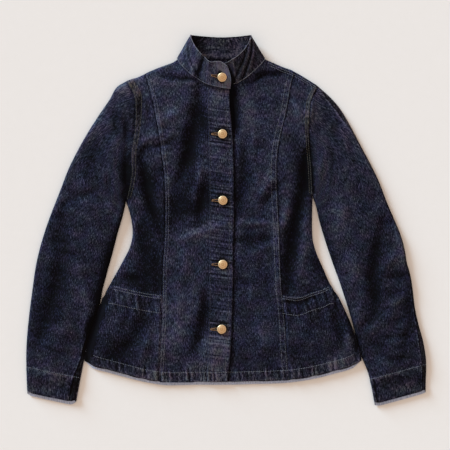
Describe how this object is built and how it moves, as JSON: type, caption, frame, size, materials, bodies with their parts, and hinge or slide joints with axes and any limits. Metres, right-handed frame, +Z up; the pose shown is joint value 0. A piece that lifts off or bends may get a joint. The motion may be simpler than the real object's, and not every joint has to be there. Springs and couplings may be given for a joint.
{
  "type": "denim jacket",
  "caption": "Fitted denim jacket laid flat, front up: stand collar, buttoned front band, princess seams, long sleeves with turned cuffs and flared hips with patch pockets.",
  "frame": {"origin": "on the back's flat underside, in the middle of the jacket as it lies", "axes": "+X to the right of the jacket as it is looked at from above, front up; +Y towards the collar; +Z up, away from the surface it lies on"},
  "size_m": [0.7639, 0.7005, 0.0247],
  "materials": {
    "front_denim": "dark rinsed indigo denim, matt twill",
    "sleeve_denim": "dark rinsed indigo denim, matt twill",
    "band_denim": "two plies of dark rinsed indigo denim, matt twill",
    "pocket_denim": "dark rinsed indigo denim, matt twill",
    "under_denim": "dark rinsed indigo denim, its inner face pale grey",
    "brass": "domed tack button, warm brass, satin"
  },
  "bodies": {
    "root": {"back": "under_denim", "under_sleeve_left": "under_denim", "under_sleeve_right": "under_denim", "front_left": "front_denim", "front_right": "front_denim", "side_front_left": "front_denim", "side_front_right": "front_denim", "upper_sleeve_left": "sleeve_denim", "upper_sleeve_right": "sleeve_denim", "front_band": "band_denim", "collar": "band_denim", "pocket_left": "pocket_denim", "pocket_right": "pocket_denim", "button_1": "brass", "button_2": "brass", "button_3": "brass", "button_4": "brass", "button_5": "brass"}
  },
  "joints": []
}
